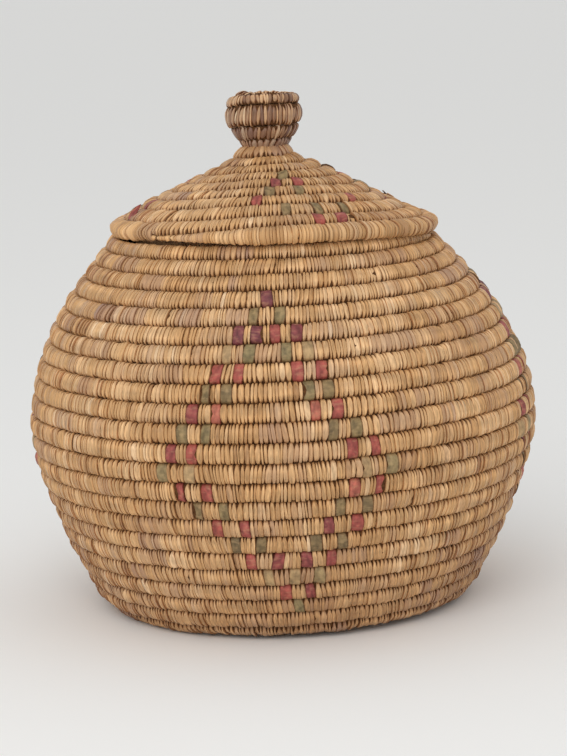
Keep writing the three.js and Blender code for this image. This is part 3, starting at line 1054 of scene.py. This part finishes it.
def wall_dye():
    """The dyed cells of the four stepped diamonds on the wall: where they lie along the coil."""
    rng = np.random.default_rng(WALL_DYE_SEED)
    cells = []
    for centre in DIAMOND_CENTRES:
        for index in range(DIAMOND_ROWS):
            level = WALL_ROUNDS + DIAMOND_FRONT - (DIAMOND_TOP_ROW + index)
            for angle in diamond_row(index):
                turn = level + (centre + angle + rng.normal(0, DIAMOND_SPREAD)) / 360
                fade = float(np.clip(rng.normal(DIAMOND_TONES[index], DYE_TONE_SPREAD), 0, 1))
                cells.append((turn, GREEN if index % 2 else RED, fade))
    return cells


def lid_dye():
    """The dyed cells of the smaller stepped motifs on the lid."""
    rng = np.random.default_rng(LID_DYE_SEED)
    cells = []
    for centre in LID_MOTIF_CENTRES:
        for index, angles in enumerate(LID_MOTIF):
            level = KNOB_ROUNDS + LID_MOTIF_TOP_ROW - 1 + index + LID_FRONT
            for angle in angles:
                turn = level - (centre + angle + rng.normal(0, LID_MOTIF_SPREAD)) / 360
                fade = float(np.clip(rng.normal(LID_MOTIF_TONE, DYE_TONE_SPREAD), 0, 1))
                cells.append((turn, RED if index % 2 else GREEN, fade))
    return cells


bundle = shaded_bundle_finish()
grass = strip_finish(
    "split_grass", GRASS_STOPS, roughness=0.45, side_shade=0.66, side_shade_from=0.385, grey=GREYED_GRASS
)
knob_grass = strip_finish(
    "knob_grass", KNOB_STOPS, roughness=0.34, side_shade=0.95, side_shade_from=0.26, grey=GREYED_KNOB
)
red = strip_finish("dyed_red", RED_STOPS, roughness=0.6, side_shade=0.8, worn=WORN_RED)
green = strip_finish("dyed_green", GREEN_STOPS, roughness=0.6, side_shade=0.8, worn=WORN_GREEN)


def dress(piece, node, body, natural):
    """Gives a sewn round its finishes and its place in the frame."""
    for finish in (natural, bundle, red, green):
        piece.data.materials.append(finish)
    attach(piece, body)
    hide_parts(node)


basket_coil = BasketCoil()
lid_coil = LidCoil()
basket_seam = Seam(basket_coil, -BASE_ROUNDS, WALL_ROUNDS, WALL_STITCH_WIDTH, wall_dye(), BASKET_SEED)
lid_seam = Seam(lid_coil, 0, KNOB_ROUNDS + LID_ROUNDS, LID_STITCH_WIDTH, lid_dye(), LID_SEED)

base = sewn_piece("sewn_base_coil", basket_seam, -BASE_ROUNDS, 0, grass_stitch, BASE_DULLNESS)
dress(base, "base_coil", "basket", grass)
for number in range(1, WALL_ROUNDS + 1):
    dullness = max(0, BASE_DULLNESS - DULLNESS_STEP * (number - 1))
    stitch = flat_stitch if number <= FLAT_STITCH_ROUNDS else grass_stitch
    name = f"wall_round_{number:02d}"
    wall_round = sewn_piece(f"sewn_{name}", basket_seam, number - 1, number, stitch, dullness)
    dress(wall_round, name, "basket", grass)
for number in range(1, KNOB_ROUNDS + 1):
    knob_round = sewn_piece(f"sewn_knob_round_{number}", lid_seam, number - 1, number, knob_stitch)
    dress(knob_round, f"knob_round_{number}", "lid", knob_grass)
for number in range(1, LID_ROUNDS + 1):
    turn = KNOB_ROUNDS + number
    name = f"lid_round_{number:02d}"
    lid_round = sewn_piece(f"sewn_{name}", lid_seam, turn - 1, turn, grass_stitch, 0.0, LOOSE_ENDS)
    dress(lid_round, name, "lid", grass)

start_coil = FlatCoil(
    inner=START_HOLE,
    outer=BASE_START_RADIUS - basket_coil.base_pitch / 2,
    level=FOOT[1],
    thickness=ROUND_THICKNESS,
    hand=1,
    seam=WALL_SEAM,
    settle=basket_coil.settle,
)
start_seam = Seam(start_coil, 0, 1, START_STITCH_WIDTH, [], START_SEED)
start_piece = sewn_piece("sewn_base_start", start_seam, 0, 1, grass_stitch, BASE_DULLNESS)
dress(start_piece, "base_start", "basket", grass)

dish_coil = FlatCoil(
    inner=START_HOLE,
    outer=KNOB_DISH[0] - lid_coil.pitch / 2,
    level=KNOB_DISH[1] - KNOB_DISH_DEPTH,
    thickness=KNOB_DISH_THICKNESS,
    hand=-1,
    seam=LID_SEAM,
    settle=settle_lid,
)
dish_seam = Seam(dish_coil, 0, 1, START_STITCH_WIDTH, [], DISH_SEED)
dish_piece = sewn_piece("sewn_knob_core", dish_seam, 0, 1, grass_stitch)
dress(dish_piece, "knob_core", "lid", knob_grass)

ring_coil = RingCoil(
    inner=SEAT_RING_RADIUS - SEAT_RING_THICKNESS / 2,
    outer=SEAT_RING_RADIUS + SEAT_RING_THICKNESS / 2,
    level=SEAT_RING_MIDDLE,
    thickness=SEAT_RING_DEPTH,
    hand=1,
    seam=WALL_SEAM,
    settle=settle_seat_ring,
)
ring_seam = Seam(ring_coil, 0, 1, START_STITCH_WIDTH, [], RING_SEED)
ring_piece = sewn_piece("sewn_seat_ring", ring_seam, 0, SEAT_RING_TURN, grass_stitch, RING_DULLNESS)
dress(ring_piece, "lid_seat_ring", "lid", grass)


def studio():
    """A pale floor, soft light from above and around."""
    bpy.ops.object.select_all(action="DESELECT")
    bpy.ops.mesh.primitive_circle_add(
        vertices=FLOOR_SIDES, radius=FLOOR_RADIUS, fill_type="NGON", location=(0, 0, -FLOOR_DROP)
    )
    floor = bpy.context.object
    floor.name = "floor"
    bpy.ops.object.transform_apply(location=True, rotation=True, scale=True)
    pale = Finish("pale_floor", DULL_ROUGHNESS, DULL_SHEEN)
    pale.feed(pale.shader.inputs["Base Color"], FLOOR_COLOUR)
    floor.data.materials.append(pale.material)

    world = bpy.data.worlds.new("studio")
    bpy.context.scene.world = world
    world.use_nodes = True
    sky = world.node_tree.nodes["Background"]
    sky.inputs["Color"].default_value = (1, 1, 1, 1)
    sky.inputs["Strength"].default_value = SKY_STRENGTH

    lamp = bpy.data.lights.new("soft_lamp", "AREA")
    lamp.shape = "DISK"
    lamp.size = LAMP_SIZE
    lamp.energy = LAMP_WATTS
    soft_lamp = bpy.data.objects.new("soft_lamp", lamp)
    soft_lamp.location = LAMP_PLACE
    aim = Vector(LAMP_AIM) - soft_lamp.location
    soft_lamp.rotation_euler = aim.to_track_quat("-Z", "Y").to_euler()
    bpy.context.scene.collection.objects.link(soft_lamp)


def photograph_camera():
    """Looks at the basket from the front, a little above it, with the picture slightly turned."""
    lens = bpy.data.cameras.new("camera")
    lens.lens = CAMERA_LENS
    lens.sensor_width = CAMERA_SENSOR
    camera = bpy.data.objects.new("camera", lens)
    away = Vector((0, -math.cos(CAMERA_RISE), math.sin(CAMERA_RISE)))
    camera.location = Vector(CAMERA_TARGET) + CAMERA_DISTANCE * away
    tilt = Euler((math.pi / 2 - CAMERA_RISE, 0, 0)).to_matrix()
    roll = Matrix.Rotation(CAMERA_ROLL, 3, "Z")
    camera.rotation_euler = (tilt @ roll).to_euler()
    bpy.context.scene.collection.objects.link(camera)
    bpy.context.scene.camera = camera


studio()
photograph_camera()
bpy.context.scene.view_settings.view_transform = "Standard"
